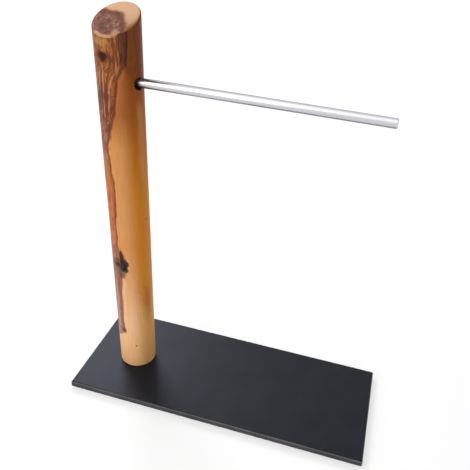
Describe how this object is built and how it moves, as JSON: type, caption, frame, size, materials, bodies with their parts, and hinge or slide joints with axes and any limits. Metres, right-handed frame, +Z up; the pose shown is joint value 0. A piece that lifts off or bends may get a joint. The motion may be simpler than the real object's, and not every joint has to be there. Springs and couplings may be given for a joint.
{
  "type": "wooden banana hanger",
  "caption": "Free-standing fruit hanger: an olive-wood branch with an oblique top stands on a flat slate slab and carries one straight bare aluminium rod.",
  "frame": {"origin": "middle of the slab's footprint, on the surface that the four pads rest on", "axes": "+Z up along the upright, +X along the rod towards its free end and along the slab's long side, +Y across the slab away from the side that the picture was taken from"},
  "size_m": [0.24, 0.095, 0.2901],
  "materials": {
    "slate": "smooth, honed",
    "olive_wood": "sanded and oiled",
    "drawn_aluminium": "bare drawn bar, matt",
    "zinc_plated_steel": "yellow zinc plating",
    "pad_rubber": "matt"
  },
  "bodies": {
    "root": {"slate_base": "slate", "post": "olive_wood", "hanging_rod": "drawn_aluminium", "base_screw": "zinc_plated_steel", "foot_pad_1": "pad_rubber", "foot_pad_2": "pad_rubber", "foot_pad_3": "pad_rubber", "foot_pad_4": "pad_rubber"}
  },
  "joints": []
}
